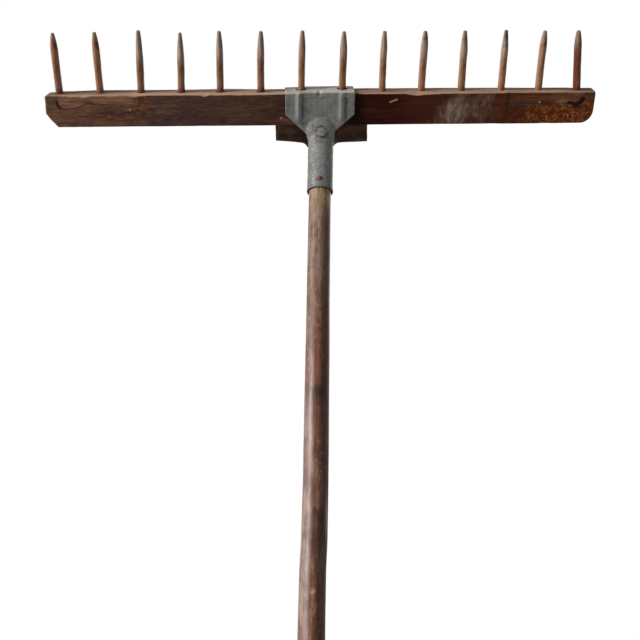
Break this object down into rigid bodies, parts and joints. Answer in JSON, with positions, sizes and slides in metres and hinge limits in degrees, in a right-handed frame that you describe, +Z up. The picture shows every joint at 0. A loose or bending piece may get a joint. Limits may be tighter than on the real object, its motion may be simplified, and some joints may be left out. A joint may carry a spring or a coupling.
{
  "type": "wooden-toothed rake",
  "caption": "Long-handled lawn and hay rake: a wooden head bar with driven wooden pegs, on a pressed zinc-coated steel socket bolted and pinned to a round wooden handle.",
  "frame": {"origin": "centre of the flat end of the handle's butt", "axes": "+Z up along the handle to the head; +X to the right along the head bar, seen from the side that the teeth lean to; the teeth lean towards -Y"},
  "size_m": [0.7005, 0.1326, 1.5917],
  "materials": {
    "bar_wood": "dark stain, worn and crazed, satin",
    "cleat_wood": "dark oiled, dull",
    "tine_wood": "whittled, weathered grey at the points",
    "zinc_sheet": "weathered zinc coating, mottled, satin",
    "handle_wood": "worn varnish, satin",
    "steel": "dull, zinc coated",
    "rusty_steel": "rusty",
    "nail_steel": "dark, lightly rusted"
  },
  "bodies": {
    "root": {"head_bar": "bar_wood", "backing_cleat": "cleat_wood", "tine_01": "tine_wood", "tine_02": "tine_wood", "tine_03": "tine_wood", "tine_04": "tine_wood", "tine_05": "tine_wood", "tine_06": "tine_wood", "tine_07": "tine_wood", "tine_08": "tine_wood", "tine_09": "tine_wood", "tine_10": "tine_wood", "tine_11": "tine_wood", "tine_12": "tine_wood", "tine_13": "tine_wood", "tine_14": "tine_wood", "socket_bracket": "zinc_sheet", "handle": "handle_wood", "neck_bolt": "steel", "neck_washer": "steel", "neck_nut": "steel", "socket_pin": "rusty_steel", "cleat_nail_left": "nail_steel", "cleat_nail_right": "nail_steel", "bracket_nail_left": "nail_steel", "bracket_nail_right": "nail_steel"}
  },
  "joints": []
}
